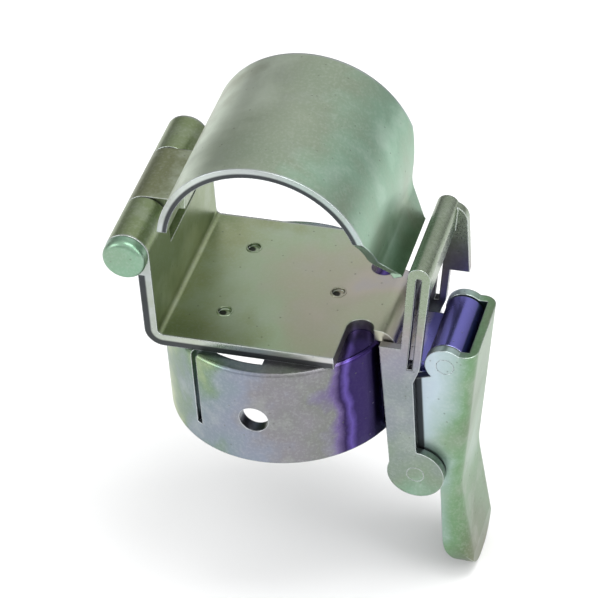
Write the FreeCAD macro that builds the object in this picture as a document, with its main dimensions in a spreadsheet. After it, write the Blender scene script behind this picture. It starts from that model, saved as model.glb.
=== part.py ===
import FreeCAD, Part
import math
import os
import re
import Sketcher

# Angle pipe clamp: a saddle with a hinged arched cover and a draw latch for the crossing
# pipe, on a pressed cup that takes the end of the upright pipe.
# The origin is on the cup's axis where the upright pipe ends, under the cup's roof.
# +Z is up, the hinge is on -X and the latch on +X. Sizes are in millimetres.
# Sketches measure their heights from the underside of the plate: each body is then lifted
# by one sheet thickness, the cup's roof.

doc = FreeCAD.newDocument("angle_pipe_clamp")
sheet = doc.addObject("Spreadsheet::Sheet", "sizes")

SIZES = [
    # stock and fits
    ("stock", 3.0),
    ("thin_stock", 2.0),
    ("pin_round", 2.0),
    ("pin_play", 0.03),
    ("side_play", 0.3),
    # saddle plate
    ("plate_half", 22.2),
    ("wall_face", 22.4),
    ("flange_face", 25.7),
    ("flange_half", 11.0),
    ("flange_drop", 25.0),
    ("seat_play", 0.1),
    ("notch_left", 17.7),
    ("notch_wide", 6.2),
    ("bend_inner", 1.2),
    ("bend_outer", 4.2),
    ("dent_round", 1.5),
    ("dent_deep", 0.6),
    ("dent_left", 10.2),
    ("dent_side", 11.5),
    ("dent_right", 12.9),
    # cover hinge
    ("knuckle_round", 5.0),
    ("hinge_high", 25.1),
    ("knuckle_front", 8.2),
    ("knuckle_rear", 9.9),
    ("wall_slot_low", 18.5),
    ("head_round", 4.9),
    ("head_tall", 3.0),
    ("head_edge", 1.3),
    # cup
    ("bore_round", 24.5),
    ("cup_tall", 26.0),
    ("roof_bend", 1.0),
    ("window_mid", 4.5),
    ("window_half", 6.4),
    ("window_reach", 14.5),
    ("window_rim", 0.5),
    ("slit_wide", 1.6),
    ("slit_deep", 20.5),
    ("slit_turn", 31.0),
    ("screw_round", 3.35),
    ("screw_drop", 13.5),
    # cover
    ("cover_stock", 2.2),
    ("arch_mid", 3.2),
    ("arch_high", 28.0),
    ("arch_inner", 21.5),
    ("cover_half", 21.5),
    ("tip_mid", 29.9),
    ("tip_high", 18.4),
    ("tip_half", 10.4),
    ("shoulder_high", 36.0),
    ("leaf_clear", 1.6),
    # latch: the pivot stands off the flange, and the lever and the link follow the pivot
    ("pivot_reach", 11.0),
    ("pivot_mid", "=flange_face + stock + pivot_reach"),
    ("pivot_drop", 5.0),
    ("tongue_half", 8.6),
    ("tongue_round", 4.4),
    ("cheek_outer", 11.0),
    ("toe_back", 7.2),
    ("toe_mid", "=pivot_mid - toe_back"),
    ("toe_drop", 36.5),
    ("toe_round", 5.4),
    ("web_clear", 0.8),
    ("web_top", "=pivot_mid + tongue_round + web_clear + thin_stock"),
    ("web_lean", 4.9),
    ("web_low", "=web_top - web_lean"),
    ("web_drop", 43.0),
    ("grip_flare", 2.4),
    ("grip_out", "=web_low + grip_flare"),
    ("grip_drop", 70.0),
    ("grip_deep", 6.8),
    ("grip_back", "=grip_out - grip_deep"),
    ("grip_round", 10.0),
    ("grip_curve", 6.0),
    ("grip_tall", 12.0),
    ("grip_edge", 1.0),
    ("cheek_reach", 7.3),
    ("cheek_back", "=pivot_mid - cheek_reach"),
    ("cheek_bend", 3.0),
    ("ear_round", 4.6),
    ("web_high", 1.6),
    ("link_gap", 1.1),
    ("link_side", 0.4),
    ("rail_left", "=flange_face - seat_play"),
    ("rail_lean", 1.0),
    ("rail_high", 0.5),
    ("rail_ahead", 0.4),
    ("rail_right", "=toe_mid + rail_ahead"),
    ("link_lean", 2.9),
    ("link_top_mid", "=toe_mid + link_lean"),
    ("link_top_high", 21.2),
    ("knee_drop", 9.0),
    ("eye_round", 6.6),
    ("bar_low", 15.5),
    ("wing_reach", 4.8),
    ("wing_out", "=link_top_mid + wing_reach"),
    ("wing_low", 4.2),
    ("wing_high", 22.4),
    ("wing_round", 3.8),
]

NAMES = set()
for row, (alias, number) in enumerate(SIZES, 1):
    sheet.set("A%d" % row, alias)
    sheet.set("B%d" % row, str(number))
    sheet.setAlias("B%d" % row, alias)
    NAMES.add(alias)
doc.recompute()


def bound(text):
    """A formula in the sheet's words, with each word tied to its cell."""
    return re.sub(r"[a-z_]+", lambda m: "sizes." + m.group(0) if m.group(0) in NAMES else m.group(0), text)


def size(text):
    """The present value of such a formula."""
    return float(sheet.evalExpression(bound(text)))


def new_body(name):
    body = doc.addObject("PartDesign::Body", name)
    body.Label = name
    body.setExpression("Placement.Base.z", bound("stock"))
    return body


def new_sketch(body, name, role, offset=None):
    """A sketch on one of the body's own planes, moved along the plane's normal."""
    sketch = body.newObject("Sketcher::SketchObject", name)
    plane = [f for f in body.Origin.OriginFeatures if f.Role == role][0]
    sketch.AttachmentSupport = (plane, [""])
    sketch.MapMode = "FlatFace"
    if offset is not None:
        sketch.setExpression("AttachmentOffset.Base.z", bound(offset))
    return sketch


def fix_point(sketch, geo, point, across, up):
    for kind, text in (("DistanceX", across), ("DistanceY", up)):
        index = sketch.addConstraint(Sketcher.Constraint(kind, -1, 1, geo, point, size(text)))
        sketch.setExpression("Constraints[%d]" % index, bound(text))


def outline(sketch, corners, bow=None):
    """A closed outline, every corner fixed by two formulas. Its sides are straight, but for the
    one that bow names by its first corner: an arc about a centre, with a radius."""
    spots = [FreeCAD.Vector(size(a), size(b), 0) for a, b in corners]
    first = sketch.GeometryCount
    count = len(spots)
    ends = [(1, 2)] * count
    for i in range(count):
        here = spots[i]
        after = spots[(i + 1) % count]
        if bow is None or bow[0] != i:
            sketch.addGeometry(Part.LineSegment(here, after), False)
            continue
        centre = FreeCAD.Vector(size(bow[1]), size(bow[2]), 0)
        angles = [math.atan2(v.y - centre.y, v.x - centre.x) for v in (here, after)]
        if (angles[1] - angles[0]) % (2 * math.pi) > math.pi:
            angles.reverse()
            ends[i] = (2, 1)
        round_side = Part.Circle(centre, FreeCAD.Vector(0, 0, 1), size(bow[3]))
        sketch.addGeometry(Part.ArcOfCircle(round_side, angles[0], angles[1]), False)
    for i in range(count):
        j = (i + 1) % count
        sketch.addConstraint(Sketcher.Constraint("Coincident", first + i, ends[i][1], first + j, ends[j][0]))
    for i, (a, b) in enumerate(corners):
        fix_point(sketch, first + i, ends[i][0], a, b)
    if bow is not None:
        index = sketch.addConstraint(Sketcher.Constraint("Radius", first + bow[0], size(bow[3])))
        sketch.setExpression("Constraints[%d]" % index, bound(bow[3]))


def disc(sketch, across, up, radius):
    spot = FreeCAD.Vector(size(across), size(up), 0)
    geo = sketch.addGeometry(Part.Circle(spot, FreeCAD.Vector(0, 0, 1), size(radius)), False)
    fix_point(sketch, geo, 3, across, up)
    index = sketch.addConstraint(Sketcher.Constraint("Radius", geo, size(radius)))
    sketch.setExpression("Constraints[%d]" % index, bound(radius))


def both_ways(body, kind, name, sketch, length):
    """A pad or pocket that runs the same way to both sides of its sketch."""
    feature = body.newObject("PartDesign::" + kind, name)
    feature.Profile = sketch
    feature.SideType = "Symmetric"
    feature.setExpression("Length", bound(length))
    doc.recompute()
    return feature


def turned(body, name, sketch, axis):
    """A full turn of the sketch about one of its own axes."""
    feature = body.newObject("PartDesign::Revolution", name)
    feature.Profile = sketch
    feature.ReferenceAxis = (sketch, [axis])
    feature.Angle = 360
    doc.recompute()
    return feature


def rounded(body, name, base, spots, radius):
    """A fillet on the edges along Y that pass through the given X and Z."""
    wanted = [(size(a), size(b)) for a, b in spots]
    edges = []
    for number, edge in enumerate(base.Shape.Edges, 1):
        ends = [v.Point for v in edge.Vertexes]
        if len(ends) != 2 or abs(ends[0].y - ends[1].y) < 0.5:
            continue
        for x, z in wanted:
            if all(abs(p.x - x) < 0.02 and abs(p.z - z) < 0.02 for p in ends):
                edges.append("Edge%d" % number)
    feature = body.newObject("PartDesign::Fillet", name)
    feature.Base = (base, edges)
    feature.setExpression("Radius", bound(radius))
    doc.recompute()
    return feature


def rounded_through(body, name, base, spots, radius):
    """A fillet on the edges that pass through the given points."""
    edges = []
    for spot in spots:
        probe = Part.Vertex(*[size(text) for text in spot])
        for number, edge in enumerate(base.Shape.Edges, 1):
            if edge.distToShape(probe)[0] < 0.02:
                edges.append("Edge%d" % number)
    feature = body.newObject("PartDesign::Fillet", name)
    feature.Base = (base, sorted(set(edges)))
    feature.setExpression("Radius", bound(radius))
    doc.recompute()
    return feature


# Saddle plate, hinge wall and latch flange: one bent profile, then cut to its outline.
HINGE_MID = "-(wall_face + knuckle_round)"
plate = new_body("base_plate")
profile = new_sketch(plate, "plate_profile", "XZ_Plane")
outline(profile, [
    ("-wall_face", "hinge_high"),
    ("-wall_face", "stock"),
    ("flange_face + stock", "stock"),
    ("flange_face + stock", "-flange_drop"),
    ("flange_face", "-flange_drop"),
    ("flange_face", "0"),
    ("-wall_face - stock", "0"),
    ("-wall_face - stock", "hinge_high"),
])
bent = both_ways(plate, "Pad", "bent_sheet", profile, "2 * plate_half")
bent = rounded(plate, "inner_bends", bent, [("-wall_face", "stock"), ("flange_face", "0")], "bend_inner")
bent = rounded(plate, "outer_bends", bent,
               [("-wall_face - stock", "0"), ("flange_face + stock", "stock")], "bend_outer")

# The corners beside the flange are cut away, with a round root at each bend.
corner = new_sketch(plate, "corner_cuts", "XY_Plane")
for way in ("", "-"):
    outline(corner, [
        ("notch_left", way + "(plate_half + 1)"),
        ("notch_left", way + "flange_half"),
        ("flange_face + stock + 1", way + "flange_half"),
        ("flange_face + stock + 1", way + "(plate_half + 1)"),
    ])
both_ways(plate, "Pocket", "corner_pocket", corner, "4 * flange_drop")
for side, way in (("rear", ""), ("front", "-")):
    root = new_sketch(plate, side + "_root", "XY_Plane")
    disc(root, "notch_left + notch_wide / 2", way + "flange_half", "notch_wide / 2")
    both_ways(plate, "Pocket", side + "_root_pocket", root, "4 * stock")

# The flange is dished on its inside, where it passes the cup.
dish = new_sketch(plate, "flange_dish", "XY_Plane", "-(flange_drop + 2) / 2")
disc(dish, "0", "0", "bore_round + stock + seat_play")
both_ways(plate, "Pocket", "flange_dish_pocket", dish, "flange_drop + 2")

# The wall opens for the cover's own knuckle.
slot = new_sketch(plate, "wall_slot", "YZ_Plane", "-wall_face - stock / 2")
outline(slot, [
    ("-(knuckle_front + side_play)", "wall_slot_low"),
    ("knuckle_rear + side_play", "wall_slot_low"),
    ("knuckle_rear + side_play", "hinge_high + 1"),
    ("-(knuckle_front + side_play)", "hinge_high + 1"),
])
both_ways(plate, "Pocket", "wall_slot_pocket", slot, "4 * stock")

# Rolled knuckles at both ends of the wall.
front_roll = new_sketch(plate, "front_roll", "XZ_Plane", "(plate_half + knuckle_front + side_play) / 2")
disc(front_roll, HINGE_MID, "hinge_high", "knuckle_round")
both_ways(plate, "Pad", "front_knuckle", front_roll, "plate_half - knuckle_front - side_play")
rear_roll = new_sketch(plate, "rear_roll", "XZ_Plane", "-(plate_half + knuckle_rear + side_play) / 2")
disc(rear_roll, HINGE_MID, "hinge_high", "knuckle_round")
both_ways(plate, "Pad", "rear_knuckle", rear_roll, "plate_half - knuckle_rear - side_play")
hinge_eye = new_sketch(plate, "hinge_eye", "XZ_Plane")
disc(hinge_eye, HINGE_MID, "hinge_high", "pin_round + pin_play")
both_ways(plate, "Pocket", "hinge_eye_pocket", hinge_eye, "4 * plate_half")

# A tongue lanced from the flange runs out and is rolled round the lever pin.
lance = new_sketch(plate, "lance", "YZ_Plane", "flange_face + stock / 2")
outline(lance, [
    ("-(tongue_half + side_play)", "-(pivot_drop + tongue_round)"),
    ("tongue_half + side_play", "-(pivot_drop + tongue_round)"),
    ("tongue_half + side_play", "-(flange_drop + 1)"),
    ("-(tongue_half + side_play)", "-(flange_drop + 1)"),
])
both_ways(plate, "Pocket", "lance_pocket", lance, "2 * stock")
tongue = new_sketch(plate, "tongue", "XZ_Plane")
outline(tongue, [
    ("flange_face + stock - 1", "-(pivot_drop + tongue_round)"),
    ("pivot_mid", "-(pivot_drop + tongue_round)"),
    ("pivot_mid", "-(pivot_drop + tongue_round - stock)"),
    ("flange_face + stock - 1", "-(pivot_drop + tongue_round - stock)"),
])
both_ways(plate, "Pad", "tongue_run", tongue, "2 * tongue_half")
tongue_roll = new_sketch(plate, "tongue_roll", "XZ_Plane")
disc(tongue_roll, "pivot_mid", "-pivot_drop", "tongue_round")
both_ways(plate, "Pad", "tongue_knuckle", tongue_roll, "2 * tongue_half")
lever_eye = new_sketch(plate, "lever_eye", "XZ_Plane")
disc(lever_eye, "pivot_mid", "-pivot_drop", "pin_round + pin_play")
both_ways(plate, "Pocket", "lever_eye_pocket", lever_eye, "4 * tongue_half")

# Three small dents where the cup is spot welded on.
dents = new_sketch(plate, "weld_dents", "XY_Plane", "stock")
disc(dents, "-dent_left", "dent_side", "dent_round")
disc(dents, "-dent_left", "-dent_side", "dent_round")
disc(dents, "dent_right", "0", "dent_round")
both_ways(plate, "Pocket", "dent_pocket", dents, "2 * dent_deep")

# Cup for the upright pipe: turned wall and roof, a window in the roof at the front and the
# rear, and a slit beside each window on the hinge side.
cup = new_body("socket_ring")
cup_profile = new_sketch(cup, "cup_profile", "XZ_Plane")
outline(cup_profile, [
    ("0", "0"),
    ("bore_round + stock", "0"),
    ("bore_round + stock", "-cup_tall"),
    ("bore_round", "-cup_tall"),
    ("bore_round", "-stock"),
    ("0", "-stock"),
])
cup_shell = turned(cup, "cup_turned", cup_profile, "V_Axis")
rounded_through(cup, "cup_shoulder", cup_shell, [("0", "-(bore_round + stock)", "0")], "roof_bend")
RIM = "(bore_round - window_rim)"
for side, way in (("rear", ""), ("front", "-")):
    window = new_sketch(cup, side + "_window", "XY_Plane")
    outline(window, [
        ("-window_mid - window_half", way + "window_reach"),
        ("-window_mid + window_half", way + "window_reach"),
        ("-window_mid + window_half", way + "sqrt(" + RIM + " ^ 2 - (window_half - window_mid) ^ 2)"),
        ("-window_mid - window_half", way + "sqrt(" + RIM + " ^ 2 - (window_half + window_mid) ^ 2)"),
    ], (2, "0", "0", RIM))
    both_ways(cup, "Pocket", side + "_window_pocket", window, "2 * stock")
slits = new_sketch(cup, "slits", "XY_Plane")
near = "(bore_round - 1.5)"
far = "(bore_round + stock + 1)"
for way in ("", "-"):
    corners = []
    for reach, side in ((near, "-"), (near, "+"), (far, "+"), (far, "-")):
        other = "-" if side == "+" else "+"
        corners.append((
            "-(%s * sin(slit_turn) %s slit_wide / 2 * cos(slit_turn))" % (reach, side),
            way + "(%s * cos(slit_turn) %s slit_wide / 2 * sin(slit_turn))" % (reach, other),
        ))
    outline(slits, corners)
both_ways(cup, "Pocket", "slit_pocket", slits, "2 * slit_deep")
screw = new_sketch(cup, "screw_hole", "XZ_Plane", "bore_round + stock / 2")
disc(screw, "0", "-screw_drop", "screw_round")
both_ways(cup, "Pocket", "screw_pocket", screw, "4 * stock")

# Arched cover: its section, then the tongue's shoulders and the middle knuckle.
cover = new_body("cover")
arch = new_sketch(cover, "arch_outer", "XZ_Plane")
disc(arch, "arch_mid", "arch_high", "arch_inner + cover_stock")
both_ways(cover, "Pad", "arch_pad", arch, "2 * cover_half")
# The lower half makes way for the tongue.
lower = new_sketch(cover, "arch_lower", "XZ_Plane")
outline(lower, [
    ("arch_mid - 2 * arch_inner", "arch_high"),
    ("arch_mid + 2 * arch_inner", "arch_high"),
    ("arch_mid + 2 * arch_inner", "arch_high - 2 * arch_inner"),
    ("arch_mid - 2 * arch_inner", "arch_high - 2 * arch_inner"),
])
both_ways(cover, "Pocket", "arch_lower_pocket", lower, "4 * cover_half")
leg = new_sketch(cover, "tongue_leg", "XZ_Plane")
outline(leg, [
    ("arch_mid + arch_inner", "arch_high"),
    ("arch_mid + arch_inner + cover_stock", "arch_high"),
    ("arch_mid + arch_inner + cover_stock", "arch_high - 2.5"),
    ("tip_mid + cover_stock * 0.46", "tip_high + cover_stock * 0.19"),
    ("tip_mid - cover_stock * 0.46", "tip_high - cover_stock * 0.19"),
    ("arch_mid + arch_inner", "arch_high - 3"),
])
straight = both_ways(cover, "Pad", "right_leg", leg, "2 * cover_half")
flared = rounded(cover, "outer_flare", straight,
                 [("arch_mid + arch_inner + cover_stock", "arch_high - 2.5")], "2 * cover_stock")
rounded(cover, "inner_flare", flared, [("arch_mid + arch_inner", "arch_high - 3")], "3 * cover_stock")
middle = "(knuckle_front - knuckle_rear) / 2"
middle_long = "knuckle_front + knuckle_rear"
run = new_sketch(cover, "knuckle_run", "XZ_Plane", middle)
outline(run, [
    (HINGE_MID, "hinge_high + knuckle_round - cover_stock"),
    ("arch_mid - arch_inner - cover_stock / 4", "hinge_high + knuckle_round - cover_stock"),
    ("arch_mid - arch_inner - cover_stock / 4", "hinge_high + knuckle_round"),
    (HINGE_MID, "hinge_high + knuckle_round"),
])
both_ways(cover, "Pad", "knuckle_leaf", run, middle_long)
roll = new_sketch(cover, "knuckle_roll", "XZ_Plane", middle)
disc(roll, HINGE_MID, "hinge_high", "knuckle_round")
both_ways(cover, "Pad", "knuckle", roll, middle_long)
bore = new_sketch(cover, "arch_bore", "XZ_Plane")
disc(bore, "arch_mid", "arch_high", "arch_inner")
both_ways(cover, "Pocket", "arch_bore_pocket", bore, "4 * cover_half")
cover_eye = new_sketch(cover, "cover_eye", "XZ_Plane", middle)
disc(cover_eye, HINGE_MID, "hinge_high", "pin_round + pin_play")
both_ways(cover, "Pocket", "cover_eye_pocket", cover_eye, "2 * (" + middle_long + ")")
# On both sides of the middle knuckle the arch ends above the base's knuckles.
for side, way, start in (("rear", "", "knuckle_rear"), ("front", "-", "knuckle_front")):
    ends = new_sketch(cover, side + "_arch_end", "YZ_Plane", HINGE_MID)
    outline(ends, [
        (way + start, "hinge_high"),
        (way + "(cover_half + 1)", "hinge_high"),
        (way + "(cover_half + 1)", "hinge_high + knuckle_round + leaf_clear"),
        (way + start, "hinge_high + knuckle_round + leaf_clear"),
    ])
    both_ways(cover, "Pocket", side + "_arch_end_pocket", ends, "arch_inner * 2")
    shoulder = new_sketch(cover, side + "_shoulder", "YZ_Plane", "tip_mid")
    outline(shoulder, [
        (way + "tip_half", "tip_high - cover_stock - 1"),
        (way + "tip_half", "tip_high + 1"),
        (way + "(cover_half + 0.5)", "shoulder_high"),
        (way + "(cover_half + 0.5)", "tip_high - cover_stock - 1"),
    ])
    both_ways(cover, "Pocket", side + "_shoulder_pocket", shoulder, "arch_inner")

# Hinge pin: turned about its own axis, head at the front.
pin = new_body("hinge_pin")
pin_profile = new_sketch(pin, "hinge_pin_profile", "XY_Plane")
outline(pin_profile, [
    ("0", "plate_half"),
    ("pin_round", "plate_half"),
    ("pin_round", "-plate_half"),
    ("head_round", "-plate_half"),
    ("head_round", "-plate_half - head_tall"),
    ("0", "-plate_half - head_tall"),
])
pin_turned = turned(pin, "hinge_pin_turned", pin_profile, "V_Axis")
rounded_through(pin, "head_dome", pin_turned, [("head_round", "-plate_half - head_tall", "0")], "head_edge")
pin.setExpression("Placement.Base.x", bound(HINGE_MID))
pin.setExpression("Placement.Base.z", bound("hinge_high + stock"))

# Lever: a solid side view with its round edges, then hollowed between its cheeks.
SLOPE = "(web_top - web_low) / (web_drop - web_high)"
GRIP = "(grip_out - grip_edge - grip_back)"
HEEL = "((" + GRIP + " ^ 2 + grip_tall ^ 2) / (2 * " + GRIP + "))"
lever = new_body("latch_lever")
side_view = new_sketch(lever, "lever_side", "XZ_Plane")
outline(side_view, [
    ("cheek_back", "-pivot_drop - ear_round"),
    ("pivot_mid", "-pivot_drop - ear_round / 2"),
    ("pivot_mid + ear_round * 0.6", "-web_high"),
    ("web_top", "-web_high"),
    ("web_low", "-web_drop"),
    ("grip_out", "-grip_drop + grip_curve"),
    ("grip_out", "-grip_drop"),
    ("grip_out - grip_edge", "-grip_drop"),
    ("grip_back", "-grip_drop + grip_tall"),
    ("grip_back", "-toe_drop - toe_round"),
    ("toe_mid", "-toe_drop - toe_round"),
    ("toe_mid", "-toe_drop"),
    ("cheek_back", "-toe_drop + toe_round / 2"),
], (7, "grip_back + " + HEEL, "-grip_drop + grip_tall", HEEL))
solid = both_ways(lever, "Pad", "lever_pad", side_view, "2 * cheek_outer")
solid = rounded(lever, "web_waist", solid, [("web_low", "-web_drop")], "4 * grip_curve")
for name, across, down, radius in (("toe", "toe_mid", "-toe_drop", "toe_round"),
                                   ("ear", "pivot_mid", "-pivot_drop", "ear_round")):
    lobe = new_sketch(lever, name, "XZ_Plane")
    disc(lobe, across, down, radius)
    solid = both_ways(lever, "Pad", name + "_pad", lobe, "2 * cheek_outer")
web_spots = [("(web_top + web_low) / 2", way + "cheek_outer", "-(web_high + web_drop) / 2") for way in ("", "-")]
rounded_through(lever, "cheek_bends", solid, web_spots, "cheek_bend")
inside = new_sketch(lever, "lever_inside", "XZ_Plane")
outline(inside, [
    ("toe_mid - toe_round - 2", "9"),
    ("web_top - thin_stock + (9 + web_high) * " + SLOPE, "9"),
    ("web_low - thin_stock", "-web_drop"),
    ("grip_out - thin_stock", "-grip_drop + grip_curve"),
    ("grip_out - thin_stock", "-grip_drop - 2"),
    ("toe_mid - toe_round - 2", "-grip_drop - 2"),
])
both_ways(lever, "Pocket", "lever_inside_pocket", inside, "2 * (cheek_outer - thin_stock)")
tab = new_sketch(lever, "tab_end", "YZ_Plane", "(grip_out + grip_back) / 2")
for way in ("", "-"):
    outline(tab, [
        (way + "cheek_outer", "-grip_drop + grip_round"),
        (way + "(cheek_outer - grip_round)", "-grip_drop"),
        (way + "(cheek_outer - grip_round)", "-grip_drop - 1"),
        (way + "(cheek_outer + 1)", "-grip_drop - 1"),
        (way + "(cheek_outer + 1)", "-grip_drop + grip_round"),
    ], (0, way + "(cheek_outer - grip_round)", "-grip_drop + grip_round", "grip_round"))
both_ways(lever, "Pocket", "tab_end_pocket", tab, "2 * grip_round")
eyes = new_sketch(lever, "lever_eyes", "XZ_Plane")
disc(eyes, "pivot_mid", "-pivot_drop", "pin_round + pin_play")
disc(eyes, "toe_mid", "-toe_drop", "pin_round + pin_play")
both_ways(lever, "Pocket", "lever_eyes_pocket", eyes, "4 * cheek_outer")

# Link: a strap folded over at the top, split by a narrow gap, with two side rails that run
# down outside the lever's cheeks to the pin in its toe.
LINK_HALF = "(cheek_outer + link_side + thin_stock)"
UPPER = "(thin_stock + link_gap / 2)"
link = new_body("latch_link")
strap = new_sketch(link, "strap", "XZ_Plane")
outline(strap, [
    ("link_top_mid - " + UPPER, "link_top_high"),
    ("link_top_mid + " + UPPER, "link_top_high"),
    ("toe_mid + thin_stock", "-knee_drop + 4"),
    ("rail_right", "-knee_drop"),
    ("rail_right", "-toe_drop"),
    ("rail_left + rail_lean", "-toe_drop"),
    ("rail_left", "rail_high"),
    ("toe_mid - thin_stock", "rail_high"),
])
both_ways(link, "Pad", "strap_pad", strap, "2 * " + LINK_HALF)
crown = new_sketch(link, "crown", "XZ_Plane")
disc(crown, "link_top_mid", "link_top_high", UPPER)
both_ways(link, "Pad", "crown_pad", crown, "2 * " + LINK_HALF)
eye = new_sketch(link, "link_eye", "XZ_Plane")
disc(eye, "toe_mid", "-toe_drop", "eye_round")
both_ways(link, "Pad", "link_eye_pad", eye, "2 * " + LINK_HALF)
wing = new_sketch(link, "rear_wing", "XZ_Plane", "-(cheek_outer + link_side + thin_stock / 2)")
outline(wing, [
    ("link_top_mid", "wing_low"),
    ("wing_out", "wing_low"),
    ("wing_out", "wing_high - wing_round"),
    ("wing_out - wing_round", "wing_high"),
    ("link_top_mid", "wing_high"),
], (2, "wing_out - wing_round", "wing_high - wing_round", "wing_round"))
both_ways(link, "Pad", "rear_wing_pad", wing, "thin_stock")
window = new_sketch(link, "link_window", "YZ_Plane", "toe_mid")
outline(window, [
    ("-(cheek_outer + link_side)", "bar_low"),
    ("cheek_outer + link_side", "bar_low"),
    ("cheek_outer + link_side", "-toe_drop - eye_round - 1"),
    ("-(cheek_outer + link_side)", "-toe_drop - eye_round - 1"),
])
both_ways(link, "Pocket", "link_window_pocket", window, "8 * eye_round")
fold = new_sketch(link, "fold_gap", "XZ_Plane", "(cheek_outer + link_side) / 2")
outline(fold, [
    ("link_top_mid - link_gap / 2", "link_top_high"),
    ("link_top_mid + link_gap / 2", "link_top_high"),
    ("toe_mid + link_gap / 2 - 0.2", "-knee_drop + 4"),
    ("toe_mid - link_gap / 2 - 0.2", "-knee_drop + 4"),
])
both_ways(link, "Pocket", "fold_gap_pocket", fold, "3 * " + LINK_HALF)
link_hole = new_sketch(link, "link_hole", "XZ_Plane")
disc(link_hole, "toe_mid", "-toe_drop", "pin_round + pin_play")
both_ways(link, "Pocket", "link_hole_pocket", link_hole, "4 * " + LINK_HALF)

# The lever's two pins, both flush at their ends.
for name, across, down, half in (("lever_pin", "pivot_mid", "-pivot_drop", "cheek_outer"),
                                 ("link_pin", "toe_mid", "-toe_drop", LINK_HALF)):
    rod = new_body(name)
    rod_profile = new_sketch(rod, name + "_profile", "XY_Plane")
    outline(rod_profile, [
        ("0", "-" + half),
        ("pin_round", "-" + half),
        ("pin_round", half),
        ("0", half),
    ])
    turned(rod, name + "_turned", rod_profile, "V_Axis")
    rod.setExpression("Placement.Base.x", bound(across))
    rod.setExpression("Placement.Base.z", bound(down + " + stock"))

doc.recompute()
for item in doc.Objects:
    if "Invalid" in item.State or "Error" in item.State:
        raise RuntimeError("failed object: " + item.Name)

os.makedirs("parts", exist_ok=True)
for item in doc.Objects:
    if item.TypeId != "PartDesign::Body":
        continue
    shape = item.Shape
    if shape.isNull() or not shape.isValid() or len(shape.Solids) != 1:
        raise RuntimeError("bad solid: %s, %d solids" % (item.Label, len(shape.Solids)))
    print("%-12s volume %9.1f" % (item.Label, shape.Volume))
    shape.exportStep("parts/%s.step" % item.Label)
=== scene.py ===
# %% [markdown]
# # A zinc-plated angle pipe clamp
# The clamp is pressed from sheet steel: a saddle plate, a cup for the upright pipe, an arched
# cover on a pin hinge and a draw latch. The solids are already exact, so Blender's work here is
# the finish: zinc with a thin chromate film, which shifts from grey-green to yellow and violet.
# The solids are loaded first, and their box is kept, since the floor is laid just under it. All
# lengths are in metres.

# %% Load the solids
import math
import bpy
from mathutils import Color, Matrix, Vector


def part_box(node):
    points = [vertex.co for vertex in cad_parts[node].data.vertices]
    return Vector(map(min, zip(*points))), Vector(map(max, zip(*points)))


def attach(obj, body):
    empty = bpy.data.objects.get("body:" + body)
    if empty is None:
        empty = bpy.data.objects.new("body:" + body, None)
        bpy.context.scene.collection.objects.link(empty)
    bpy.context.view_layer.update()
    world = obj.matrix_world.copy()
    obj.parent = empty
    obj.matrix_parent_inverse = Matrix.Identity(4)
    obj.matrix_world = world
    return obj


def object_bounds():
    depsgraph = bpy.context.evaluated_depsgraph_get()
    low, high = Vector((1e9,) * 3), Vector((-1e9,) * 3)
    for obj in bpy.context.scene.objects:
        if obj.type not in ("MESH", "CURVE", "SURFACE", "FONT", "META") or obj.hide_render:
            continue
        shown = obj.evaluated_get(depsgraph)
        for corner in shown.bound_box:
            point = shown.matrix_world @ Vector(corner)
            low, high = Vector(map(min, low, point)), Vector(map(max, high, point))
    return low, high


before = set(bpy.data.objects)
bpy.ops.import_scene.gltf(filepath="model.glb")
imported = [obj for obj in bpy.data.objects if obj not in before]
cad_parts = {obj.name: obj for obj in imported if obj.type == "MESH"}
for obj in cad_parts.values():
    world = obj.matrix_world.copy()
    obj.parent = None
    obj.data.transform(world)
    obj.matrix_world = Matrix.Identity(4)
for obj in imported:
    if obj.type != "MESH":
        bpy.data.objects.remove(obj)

cad_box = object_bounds()
print("solids:", sorted(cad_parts), "box:", cad_box)

# %% [markdown]
# Shader nodes are easier to read as sums than as wires. One class wraps a node's output and turns
# +, - and * into Math nodes. One method makes every other node, settings first, sockets second.


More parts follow.
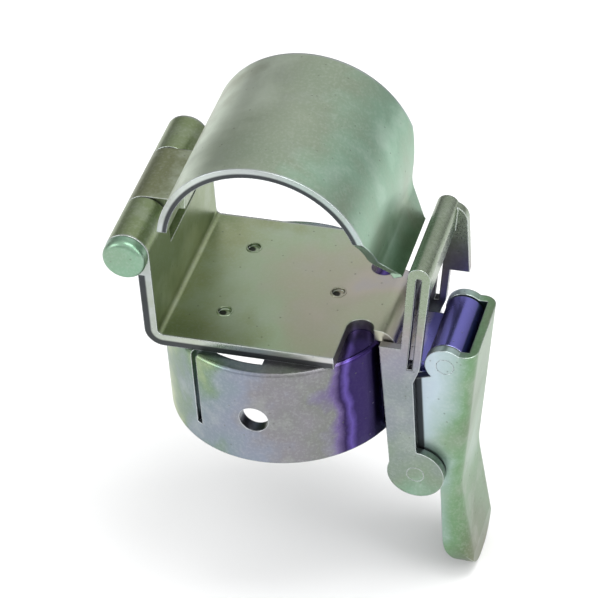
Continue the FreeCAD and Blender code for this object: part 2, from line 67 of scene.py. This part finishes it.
# %% Shader maths
class Wire:
    """An output socket in a material, with arithmetic."""

    def __init__(self, tree, socket):
        self.tree = tree
        self.socket = socket

    def node(self, kind, settings=None, out=0, **sockets):
        """A new node: settings are set first, then its sockets are filled or linked. A socket is
        given by its name, or by its number after the letters in."""
        made = self.tree.nodes.new(kind)
        for key, value in (settings or {}).items():
            if key == "stops":
                ramp = made.color_ramp
                while len(ramp.elements) < len(value):
                    ramp.elements.new(0.5)
                for stop, (place, colour) in zip(ramp.elements, value):
                    stop.position = place
                    stop.color = colour
            else:
                setattr(made, key, value)
        for key, value in sockets.items():
            if key.startswith("in"):
                target = made.inputs[int(key[2:])]
            else:
                target = made.inputs[key.replace("_", " ")]
            if isinstance(value, Wire):
                self.tree.links.new(value.socket, target)
            else:
                target.default_value = value
        return Wire(self.tree, made.outputs[out] if out is not None else None)

    def split(self):
        """The three parts of a vector."""
        first = self.node("ShaderNodeSeparateXYZ", in0=self)
        return [Wire(self.tree, end) for end in first.socket.node.outputs]

    def maths(self, operation, first, second=0.0):
        return self.node("ShaderNodeMath", {"operation": operation}, in0=first, in1=second)

    def __add__(self, other):
        return self.maths("ADD", self, other)

    __radd__ = __add__

    def __mul__(self, other):
        return self.maths("MULTIPLY", self, other)

    __rmul__ = __mul__

    def __sub__(self, other):
        return self.maths("SUBTRACT", self, other)

    def __rsub__(self, other):
        return self.maths("SUBTRACT", other, self)

    def most(self, other):
        return self.maths("MAXIMUM", self, other)

    def least(self, other):
        return self.maths("MINIMUM", self, other)

    def root(self):
        return self.maths("SQRT", self)

    def above(self, low, high):
        """0 below low, 1 above high, and a smooth step between."""
        return self.node("ShaderNodeMapRange", {"interpolation_type": "SMOOTHSTEP"},
                         in0=self, in1=low, in2=high, in3=0.0, in4=1.0)

    def within(self, low, high, fade_in, fade_out):
        """1 from low to high, and a smooth fade to 0 outside them."""
        return self.above(low - fade_in, low) * (1.0 - self.above(high, high + fade_out))

    def tint(self, first, second):
        """A colour mixed from first to second by this value."""
        return self.node("ShaderNodeMix", {"data_type": "RGBA"}, out=2, in0=self, in6=first, in7=second)


print("wire operators:", "+ - * most least root above within tint")

# %% [markdown]
# The chromate film is thinner in some places than in others, as an oil film on water is, and each
# thickness gives another hue. Over a stamping the hue drifts slowly from end to end, because the
# bath drains along it, so the film's depth is a slope in Object coordinates with two noises on top.
# On the cup that slope also carries painted shade, and on the cover painted light.
# A ramp turns the depth into a hue. A fine noise carries the sheet's rolled grain, and sparse
# cells carry the small pits in the zinc. Nothing depends on where a piece stands in the world, so
# the patches stay put when the cover or the lever moves.

# %% Chromate film
DRIFT_SCALE = 30.0
CLOUD_SCALE = 130.0
GRAIN_SCALE = 1500.0
PIT_SCALE = 380.0
SEED_STEP = (0.37, 0.11, 0.23)
DRIFT_SHARE = 0.9
CLOUD_SHARE = 0.3
NOISE_MIDDLE = (DRIFT_SHARE + CLOUD_SHARE) / 2


def seen(colour):
    """A colour in screen values from 0 to 255, as the linear colour that a shader wants."""
    screen = Color([value / 255.0 for value in colour])
    return (*screen.from_srgb_to_scene_linear(), 1.0)


def noises(place, seed):
    """The slow drift, the clouds, the grain and the pits. The seed moves them, so that no two
    finishes have the same patches."""
    moved = place.node("ShaderNodeMapping", in0=place, in1=[seed * step for step in SEED_STEP])
    drift = moved.node("ShaderNodeTexNoise", in0=moved, Scale=DRIFT_SCALE, Detail=3.0, Roughness=0.5,
                       Distortion=0.5)
    cloud = moved.node("ShaderNodeTexNoise", in0=moved, Scale=CLOUD_SCALE, Detail=4.0, Roughness=0.55)
    grain = moved.node("ShaderNodeTexNoise", in0=moved, Scale=GRAIN_SCALE, Detail=2.0, Roughness=0.6)
    pits = moved.node("ShaderNodeTexVoronoi", in0=moved, Scale=PIT_SCALE)
    return drift, cloud, grain, pits


def hue_at(depth, hues):
    """The film's hue: its depth runs from 0 to 1 through the hues, in even steps."""
    last = len(hues) - 1
    stops = [(number / last, seen(hue)) for number, hue in enumerate(hues)]
    return depth.node("ShaderNodeValToRGB", {"stops": stops}, in0=depth)


print("scales of the film:", DRIFT_SCALE, CLOUD_SCALE, GRAIN_SCALE, PIT_SCALE)

# %% [markdown]
# A sheared edge has two zones: one side is burnished by the punch and shines, the other is torn
# and stays dark, painted near black, partly as painted shade. Painting them by hand would not follow
# a change of size, so two masks do it: one on the distance from the middle plane, and one on the
# distance from the torn side of the sheet.
#
# Stampings are plated loose in a drum, so every edge is knocked a little round and rubbed bright.
# Each edge could be rounded in the solid, but at under half a millimetre that is many faces for a
# thin line of light. The Bevel node eases the normal near an edge instead. Where the eased normal
# turns away from the plain one, the zinc is painted pale: partly rubbed zinc, partly a painted
# highlight along the edge.
#
# Each mark is a mask with a colour, the share of that colour and a change of roughness, so one
# short loop lays them all over the film. Where the film is thick it hides the grain.

# %% Zinc finish
MARKS = {
    "bare": ((178, 186, 178), 0.22, 0.0),
    "pit": ((96, 98, 92), 0.45, 0.12),
    "grain": ((214, 218, 216), 0.09, 0.05),
    "rim": ((190, 192, 204), 1.0, -0.06),
    # The torn mark is near black: a torn zone, darkened further as painted shade.
    "torn_and_shade": ((42, 44, 50), 0.9, 0.20),
    # This mark is painted shade, dark in gaps and on one side of the weld dents.
    "dirt": ((34, 34, 38), 0.92, 0.15),
    # The edge mark is pale: partly rubbed zinc, partly a painted highlight.
    "edge": ((212, 218, 220), 1.0, -0.06),
}
RIM_START, RIM_FULL = 0.0008, 0.0001
END_START, END_FULL = 0.00025, 0.00005
TORN_FADE = 0.0005
EASED_RADIUS = 0.0004
BUMP_HEIGHT = 0.0005


def eased_edge(place):
    """The normal with its edges eased, and how far it is turned from the plain normal there."""
    eased = place.node("ShaderNodeBevel", {"samples": 8}, Radius=EASED_RADIUS)
    plain = place.node("ShaderNodeNewGeometry", out="Normal")
    match = place.node("ShaderNodeVectorMath", {"operation": "DOT_PRODUCT"}, out="Value",
                       in0=eased, in1=plain)
    return eased, (1.0 - match).above(0.01, 0.16)


def zinc_finish(name, hues, slope, start, seed, gloss, edge=None, thick=None, torn_and_shade=None, shade_mask=None):
    """Plated steel. The film's depth is start plus slope times place, with noise.
    thick is from where to where on the latch side the film gets deeper, and by how much. On the
    plate that is where the bath drained badly; on the cup it reaches the near-black hues, which are
    painted shade. edge is half the width of the sheet, and the next argument gives the depth into
    its end face from the torn side, where the dark torn zone is partly painted shade. The last
    argument masks painted shade in gaps and dents."""
    material = bpy.data.materials.new(name)
    material.use_nodes = True
    tree = material.node_tree
    tree.nodes.clear()
    place = Wire(tree, None).node("ShaderNodeTexCoord", out="Object")
    across, along, height = place.split()
    away = along.maths("ABSOLUTE", along)
    drift, cloud, grain, pits = noises(place, seed)
    eased, rubbed_and_highlight = eased_edge(place)

    depth = across * slope[0] + along * slope[1] + height * slope[2]
    depth = depth + (drift * DRIFT_SHARE + cloud * CLOUD_SHARE + (start - NOISE_MIDDLE))
    thin = 1.0
    if thick is not None:
        depth = depth + across.above(thick[0], thick[1]) * thick[2]
        thin = 1.0 - depth.above(0.55, 0.75) * 0.9

    masks = {"bare": cloud.above(0.50, 0.72) * thin}
    masks["pit"] = 1.0 - pits.above(0.04, 0.13)
    masks["grain"] = grain.above(0.45, 0.68) * thin
    if edge is not None:
        masks["rim"] = away.above(edge - RIM_START, edge - RIM_FULL) * (0.10 + cloud * 0.75)
    if torn_and_shade is not None:
        end_face = away.above(edge - END_START, edge - END_FULL)
        masks["torn_and_shade"] = end_face * (1.0 - torn_and_shade(across, height).above(0.0, TORN_FADE))
    # Painted shade: dark in gaps and on one side of the weld dents.
    if shade_mask is not None:
        masks["dirt"] = shade_mask(across, away, height)
    # Pale along edges: partly rubbed zinc, partly a painted highlight.
    masks["edge"] = rubbed_and_highlight * (0.25 + cloud * 0.7)

    colour = hue_at(depth, hues)
    rough = gloss + drift.above(0.35, 0.65) * 0.08 - (1.0 - thin) * 0.10
    for mark, mask in masks.items():
        paint, share, duller = MARKS[mark]
        colour = (mask * share).tint(colour, seen(paint))
        rough = rough + mask * duller
    relief = cloud * 0.5 + grain * 0.05 - masks["pit"] * 0.25
    bumped = relief.node("ShaderNodeBump", Strength=0.17, Distance=BUMP_HEIGHT, Height=relief,
                         Normal=eased)
    surface = colour.node("ShaderNodeBsdfPrincipled", Base_Color=colour, Metallic=1.0, Roughness=rough,
                          Normal=bumped)
    surface.node("ShaderNodeOutputMaterial", out=None, Surface=surface)
    return material


print("marks on the zinc:", ", ".join(MARKS))

# %% [markdown]
# The places of the torn zones and of the painted shade come from the stampings themselves. The
# folded plate is torn on the outside of its fold, and the arch on its inside; these torn zones are
# painted near black, partly as painted shade. The lever's cheeks get a line of painted shade where
# the link's rail stands close in front of them. The narrow gap inside the link's folded sheet is
# painted dark as painted shade. Each spot weld's dent gets painted shade on one side. Each place is
# worked out from a few lengths, where a painted picture would have to be drawn again for another size.

# %% Torn edges and painted shade
PLATE_SHEET, COVER_SHEET = 0.0030, 0.0022
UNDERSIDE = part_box("socket_ring")[1][2]
WALL_OUTER, FOLD, ROLL_LOW = -0.0254, 0.0042, 0.0230
ARCH_X, ARCH_INNER = 0.0032, 0.0215
ARCH_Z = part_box("cover")[1][2] - COVER_SHEET - ARCH_INNER
PLATE_TORN, ARCH_TORN = 0.0013, 0.0008
RAIL_EDGE, RAIL_GAP = 0.0329, 0.0012
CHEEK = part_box("latch_lever")[1][1]
LINE_LOW, LINE_HIGH = -0.0290, -0.0060
FOLD_X, FOLD_LEAN, FOLD_HALF, FOLD_LOW, FOLD_HIGH = 0.0323, 0.118, 0.0007, -0.0020, 0.0236
DENTS = [(-0.0102, 0.0115), (-0.0102, -0.0115), (0.0129, 0.0)]
DENT_SHADE_ASIDE, DENT_SHADE_CORE, DENT_SHADE_RIM = 0.0006, 0.0007, 0.0012
DENT_SHADE_FADE, DENT_SHADE_TOP = 0.0062, 0.0064


# Both torn zones below are painted near black, partly as painted shade.
def into_plate(across, height):
    """How deep a point lies past the torn zone of the folded plate, which is on the outside of its
    rounded fold. The knuckles above the wall are rolled, and count as deep."""
    left = (WALL_OUTER + FOLD) - across
    below = (UNDERSIDE + FOLD) - height
    out_left = left.most(0.0)
    out_below = below.most(0.0)
    outside = (out_left * out_left + out_below * out_below).root()
    depth = FOLD - outside - left.most(below).least(0.0)
    return depth + height.above(ROLL_LOW - 0.0005, ROLL_LOW) - PLATE_TORN


def into_arch(across, height):
    """How far a point lies past the torn zone of the arch, which is on its inner round."""
    flat = across - ARCH_X
    tall = height - ARCH_Z
    return (flat * flat + tall * tall).root() - (ARCH_INNER + ARCH_TORN)


def rail_gap_shade(across, away, height):
    """Painted shade in a line beside the link's rail, on both cheeks of the lever."""
    band = across.within(RAIL_EDGE, RAIL_EDGE + RAIL_GAP, 0.0005, 0.0005)
    run = height.within(LINE_LOW, LINE_HIGH, 0.001, 0.001)
    return band * run * away.above(CHEEK - 0.0004, CHEEK - 0.0001)


def fold_gap_shade(across, away, height):
    """Painted shade in the narrow gap inside the link's folded sheet."""
    aside = across - (FOLD_X + (height - FOLD_LOW) * FOLD_LEAN)
    gap = 1.0 - (aside * aside).root().above(FOLD_HALF, FOLD_HALF + 0.0001)
    return gap * height.within(FOLD_LOW, FOLD_HIGH, 0.0005, 0.0004)


def dent_shade(across, away, height):
    """Painted shade in the dents of the saddle, on the hinge side of each."""
    shaded = height * 0.0
    for x, y in DENTS:
        aside = across - (x - DENT_SHADE_ASIDE)
        ahead = away - abs(y)
        reach = (aside * aside + ahead * ahead).root()
        shaded = shaded.most(1.0 - reach.above(DENT_SHADE_CORE, DENT_SHADE_RIM))
    return shaded * (1.0 - height.above(DENT_SHADE_FADE, DENT_SHADE_TOP))


print("torn zones:", PLATE_TORN, ARCH_TORN, "shade line at", RAIL_EDGE, "soot in", len(DENTS), "dents")

# %% [markdown]
# Each stamping was plated on its own, so each has its own order of hues and its own drift, and the
# patches do not run on from one to the next. The hues were tuned until the render's tones came close
# to the picture's. The plate goes from olive at the hinge to violet at the latch, the cup from green
# over grey to a dark violet stripe on its latch side, and the cover from olive to a pale green. The
# stripe's near-black hues are painted shade, and the cover's palest hues, at its hinge side and on
# its latch-side flank, are painted light. One finish for all would be shorter, but the clamp would
# look like one casting.

# %% Finishes of the stampings
PLATE_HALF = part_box("base_plate")[1][1]
COVER_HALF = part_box("cover")[1][1]
PLATE_HUES = [(126, 140, 104), (158, 168, 132), (170, 186, 158), (178, 180, 158),
              (184, 178, 166), (170, 168, 184), (112, 110, 184)]
# The cup's near-black violet hues fall on its latch side, under the latch and flange: the violet is the
# film's, the near-black is painted shade.
CUP_HUES_AND_SHADE = [(152, 166, 122), (112, 134, 112), (124, 136, 144), (130, 136, 150), (128, 126, 131),
            (119, 121, 118), (104, 90, 134), (44, 32, 72), (90, 74, 146), (46, 34, 82)]
# The cover's pale second and last hues, at its hinge side and on its latch-side flank, are painted
# light: lighter than the film, where light falls on those sides.
COVER_HUES_AND_LIGHT = [(122, 128, 98), (196, 208, 190), (158, 170, 150),
              (146, 160, 140), (146, 178, 156), (192, 228, 206)]
LEVER_HUES = [(172, 184, 196), (174, 190, 198), (156, 176, 172),
              (112, 144, 110), (104, 122, 94), (120, 120, 102)]
LINK_HUES = [(136, 148, 128), (144, 138, 138), (136, 136, 148),
             (130, 138, 140), (124, 140, 122), (122, 158, 134)]
PIN_HUES = [(134, 150, 130), (126, 168, 142), (134, 150, 130), (128, 132, 100)]

plate_zinc = zinc_finish("plate_zinc", PLATE_HUES, slope=(8.0, -2.0, -16.0), start=0.46, seed=1.0,
                         gloss=0.30, edge=PLATE_HALF, thick=(0.030, 0.036, 0.40),
                         torn_and_shade=into_plate, shade_mask=dent_shade)
cup_zinc = zinc_finish("cup_zinc", CUP_HUES_AND_SHADE, slope=(13.0, 0.0, 0.0), start=0.32, seed=2.0,
                       gloss=0.27, thick=(0.0155, 0.0230, 0.48))
cover_zinc = zinc_finish("cover_zinc", COVER_HUES_AND_LIGHT, slope=(15.0, 0.0, -1.5), start=0.46, seed=3.0,
                         gloss=0.32, edge=COVER_HALF, torn_and_shade=into_arch)
lever_zinc = zinc_finish("lever_zinc", LEVER_HUES, slope=(55.0, 0.0, -4.0), start=-1.80, seed=4.0,
                         gloss=0.28, shade_mask=rail_gap_shade)
link_zinc = zinc_finish("link_zinc", LINK_HUES, slope=(0.0, 0.0, -15.0), start=0.32, seed=5.0,
                        gloss=0.26, shade_mask=fold_gap_shade)
pin_zinc = zinc_finish("pin_zinc", PIN_HUES, slope=(0.0, 12.0, 0.0), start=0.5, seed=6.0, gloss=0.30)
print("finishes:", [m.name for m in bpy.data.materials])

# %% [markdown]
# Each solid is dressed in the finish of its stamping. The lever's and the link's pins are as good as
# hidden, so each shares the finish of the piece that it holds.

# %% Dress the solids
DRESS = {
    "base_plate": plate_zinc,
    "socket_ring": cup_zinc,
    "cover": cover_zinc,
    "latch_lever": lever_zinc,
    "latch_link": link_zinc,
    "hinge_pin": pin_zinc,
    "lever_pin": lever_zinc,
    "link_pin": link_zinc,
}
for node, finish in DRESS.items():
    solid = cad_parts[node]
    solid.data.materials.clear()
    solid.data.materials.append(finish)
    print(node, "->", finish.name)

# %% [markdown]
# A spot weld leaves a shallow dent with a low lip pushed up round it. The dents are in the solid.
# The lip is the same three times, so one small ring is made in Geometry Nodes and set on three
# points. It could be three copies by hand, but the tree keeps the ring's sizes in one place.

# %% Weld lips
SADDLE_Z = UNDERSIDE + PLATE_SHEET
LIP_RADIUS = 0.00165
LIP_THICKNESS = 0.00022
lip_tree = bpy.data.node_groups.new("weld_lip_ring", "GeometryNodeTree")
face = lip_tree.interface
face.new_socket("Geometry", in_out="INPUT", socket_type="NodeSocketGeometry")
lip_radius = face.new_socket("Lip radius", in_out="INPUT", socket_type="NodeSocketFloat")
lip_thick = face.new_socket("Lip thickness", in_out="INPUT", socket_type="NodeSocketFloat")
face.new_socket("Geometry", in_out="OUTPUT", socket_type="NodeSocketGeometry")


def lip_node(kind, links=(), **values):
    """A node in the lip's tree: values by socket name, links as (source socket, input)."""
    made = lip_tree.nodes.new(kind)
    for key, value in values.items():
        made.inputs[key.replace("_", " ")].default_value = value
    for source, target in links:
        lip_tree.links.new(source, made.inputs[target])
    return made


given = lip_node("NodeGroupInput").outputs
path = lip_node("GeometryNodeCurvePrimitiveCircle", [(given["Lip radius"], "Radius")], Resolution=40)
section = lip_node("GeometryNodeCurvePrimitiveCircle", [(given["Lip thickness"], "Radius")],
                   Resolution=10)
ring = lip_node("GeometryNodeCurveToMesh", [(path.outputs["Curve"], "Curve"),
                                            (section.outputs["Curve"], "Profile Curve")])
spots = lip_node("GeometryNodeInstanceOnPoints", [(given["Geometry"], "Points"),
                                                  (ring.outputs["Mesh"], "Instance")])
real = lip_node("GeometryNodeRealizeInstances", [(spots.outputs["Instances"], "Geometry")])
smooth = lip_node("GeometryNodeSetShadeSmooth", [(real.outputs["Geometry"], "Geometry")])
coated = lip_node("GeometryNodeSetMaterial", [(smooth.outputs["Geometry"], "Geometry")],
                  Material=plate_zinc)
lip_node("NodeGroupOutput", [(coated.outputs["Geometry"], "Geometry")])

seeds = bpy.data.meshes.new("weld_spots")
seeds.from_pydata([(x, y, SADDLE_Z) for x, y in DENTS], [], [])
maker = bpy.data.objects.new("weld_maker", seeds)
bpy.context.collection.objects.link(maker)
step = maker.modifiers.new("lips", "NODES")
step.node_group = lip_tree
step[lip_radius.identifier] = LIP_RADIUS
step[lip_thick.identifier] = LIP_THICKNESS
shaped = maker.evaluated_get(bpy.context.evaluated_depsgraph_get())
weld_mesh = bpy.data.meshes.new_from_object(shaped)
bpy.data.objects.remove(maker)
weld_lips = bpy.data.objects.new("weld_lips", weld_mesh)
bpy.context.collection.objects.link(weld_lips)
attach(weld_lips, "base")
print("weld lips:", len(weld_mesh.polygons), "faces")

# %% [markdown]
# The clamp floats over a plain white ground in the picture, as it was cut out. The floor here
# is white paper that lies just under the lever's tab. It gives the white ground, shows in the
# metal as a pale reflection, and keeps the shadow.

# %% Floor
FLOOR_GAP = 0.0005
FLOOR_Z = cad_box[0][2] - FLOOR_GAP
REACH = 6.0
PAPER_WHITE = (0.93, 0.93, 0.93, 1.0)
PAPER_ROUGHNESS = 0.9
corners = [(-REACH, -REACH, FLOOR_Z), (REACH, -REACH, FLOOR_Z), (REACH, REACH, FLOOR_Z),
           (-REACH, REACH, FLOOR_Z)]
floor_mesh = bpy.data.meshes.new("floor")
floor_mesh.from_pydata(corners, [], [(0, 1, 2, 3)])
floor = bpy.data.objects.new("floor", floor_mesh)
bpy.context.collection.objects.link(floor)
paper = bpy.data.materials.new("paper_white")
paper.use_nodes = True
paper_inputs = paper.node_tree.nodes["Principled BSDF"].inputs
paper_inputs["Base Color"].default_value = PAPER_WHITE
paper_inputs["Roughness"].default_value = PAPER_ROUGHNESS
floor.data.materials.append(paper)
print("floor at", round(FLOOR_Z, 4))

# %% [markdown]
# Metal shows its surroundings more than its own colour. Broad soft lamps above and to the sides
# give long pale reflections, and the darker gaps between them give the bends their dark lines.
# A world of one grey would do, but one that is brighter overhead than at the skyline gives the
# arch its slow change of tone.

# %% Light
NEUTRAL = (1.0, 1.0, 1.0)
COOL = (0.94, 0.97, 1.0)
SKY_LEAN = (0.15, -0.22, 0.9)
SKY_DARK, SKY_BRIGHT = -0.30, 0.90
SKY_LEAST, SKY_GAIN = 0.25, 0.9


def soft_lamp(name, place, width, height, power, colour):
    """A broad lamp that faces the clamp, which stands at the middle of the frame."""
    lamp = bpy.data.lights.new(name, "AREA")
    lamp.shape = "RECTANGLE"
    lamp.size = width
    lamp.size_y = height
    lamp.energy = power
    lamp.color = colour
    holder = bpy.data.objects.new(name, lamp)
    holder.location = place
    holder.rotation_euler = (-Vector(place)).to_track_quat("-Z", "Y").to_euler()
    bpy.context.collection.objects.link(holder)


soft_lamp("top_lamp", (0.20, 0.05, 0.75), width=0.35, height=0.45, power=2.3, colour=NEUTRAL)
soft_lamp("left_lamp", (-0.6, -0.45, 0.35), width=0.3, height=0.5, power=1.6, colour=COOL)
soft_lamp("right_lamp", (0.70, -0.25, 0.45), width=0.25, height=0.6, power=1.6, colour=NEUTRAL)
world = bpy.data.worlds.new("studio")
bpy.context.scene.world = world
world.use_nodes = True
sky = world.node_tree
glow = sky.nodes["Background"]
across, along, height = Wire(sky, None).node("ShaderNodeTexCoord", out="Generated").split()
side = across * SKY_LEAN[0] + along * SKY_LEAN[1] + height * SKY_LEAN[2]
tone = SKY_LEAST + side.above(SKY_DARK, SKY_BRIGHT) * SKY_GAIN
sky.links.new(tone.socket, glow.inputs["Strength"])
glow.inputs["Color"].default_value = (*NEUTRAL, 1.0)

# %% [markdown]
# The camera's place was worked out from the picture: the cup's rim, the plate's edges and the
# hinge line fix its turn, its height and its focal length.

# %% Camera
TURN, RISE, ROLL = (math.radians(a) for a in (18.75, 39.61, -4.46))
AIM = Vector((0.00666, -0.00936, 0.01062))
DISTANCE = 0.6474
FOCAL_PIXELS = 2937.87
FRAME_PIXELS = 598.0
SENSOR = 36.0
back = Vector((math.sin(TURN) * math.cos(RISE), -math.cos(TURN) * math.cos(RISE), math.sin(RISE)))
right = Vector((math.cos(TURN), math.sin(TURN), 0.0))
up = back.cross(right)
right_rolled = right * math.cos(ROLL) + up * math.sin(ROLL)
up_rolled = up * math.cos(ROLL) - right * math.sin(ROLL)
eye = AIM + back * DISTANCE
lens = bpy.data.cameras.new("camera")
lens.sensor_fit = "HORIZONTAL"
lens.sensor_width = SENSOR
lens.lens = SENSOR * FOCAL_PIXELS / FRAME_PIXELS
camera = bpy.data.objects.new("camera", lens)
camera.matrix_world = Matrix((
    (right_rolled.x, up_rolled.x, back.x, eye.x),
    (right_rolled.y, up_rolled.y, back.y, eye.y),
    (right_rolled.z, up_rolled.z, back.z, eye.z),
    (0.0, 0.0, 0.0, 1.0),
))
bpy.context.collection.objects.link(camera)
bpy.context.scene.camera = camera
bpy.context.scene.view_settings.view_transform = "Standard"
print("camera at", [round(v, 4) for v in eye], "lens", round(lens.lens, 1))
